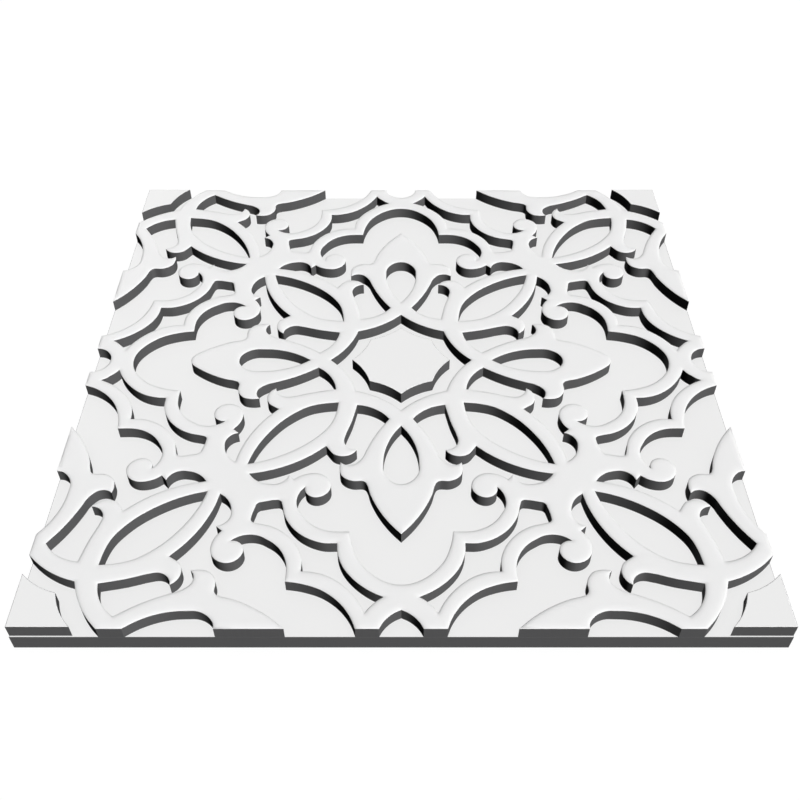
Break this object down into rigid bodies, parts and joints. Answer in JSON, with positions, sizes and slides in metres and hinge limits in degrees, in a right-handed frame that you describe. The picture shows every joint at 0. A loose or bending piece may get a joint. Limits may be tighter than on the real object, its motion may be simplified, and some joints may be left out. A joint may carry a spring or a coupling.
{
  "type": "hanging room divider panel",
  "caption": "Square hanging divider panel: a flat white back board faced with a raised arabesque fretwork of ribbons, petals and scrolls, with star plates in its middle and corners.",
  "frame": {"origin": "middle of the rear face of the back board", "axes": "+Z out of the front face, +Y towards the edge that the panel hangs from, +X to the right seen from the front; the panel lies on its back, as in the picture"},
  "size_m": [0.6, 0.6, 0.0274],
  "materials": {
    "board_lacquer": "white satin lacquer on fibreboard, grey edges",
    "fretwork_lacquer": "white satin lacquer on fibreboard, routed grey walls with a softened front edge",
    "plate_lacquer": "white satin lacquer on fibreboard, grey walls",
    "zinc": "bright zinc plate",
    "insert_brass": "plain turned brass"
  },
  "bodies": {
    "root": {"back_board": "board_lacquer", "fretwork": "fretwork_lacquer", "centre_star_plate": "plate_lacquer", "corner_plate_lower_left": "plate_lacquer", "corner_plate_lower_right": "plate_lacquer", "corner_plate_upper_right": "plate_lacquer", "corner_plate_upper_left": "plate_lacquer", "fretwork_screw_1": "zinc", "fretwork_screw_2": "zinc", "fretwork_screw_3": "zinc", "fretwork_screw_4": "zinc", "fretwork_screw_5": "zinc", "fretwork_screw_6": "zinc", "fretwork_screw_7": "zinc", "fretwork_screw_8": "zinc", "fretwork_screw_9": "zinc", "fretwork_screw_10": "zinc", "fretwork_screw_11": "zinc", "fretwork_screw_12": "zinc", "fretwork_screw_13": "zinc", "fretwork_screw_14": "zinc", "fretwork_screw_15": "zinc", "fretwork_screw_16": "zinc", "star_screw_1": "zinc", "star_screw_2": "zinc", "corner_screw_1": "zinc", "corner_screw_2": "zinc", "corner_screw_3": "zinc", "corner_screw_4": "zinc", "corner_screw_5": "zinc", "corner_screw_6": "zinc", "corner_screw_7": "zinc", "corner_screw_8": "zinc", "hanging_insert_left": "insert_brass", "hanging_insert_right": "insert_brass"}
  },
  "joints": []
}
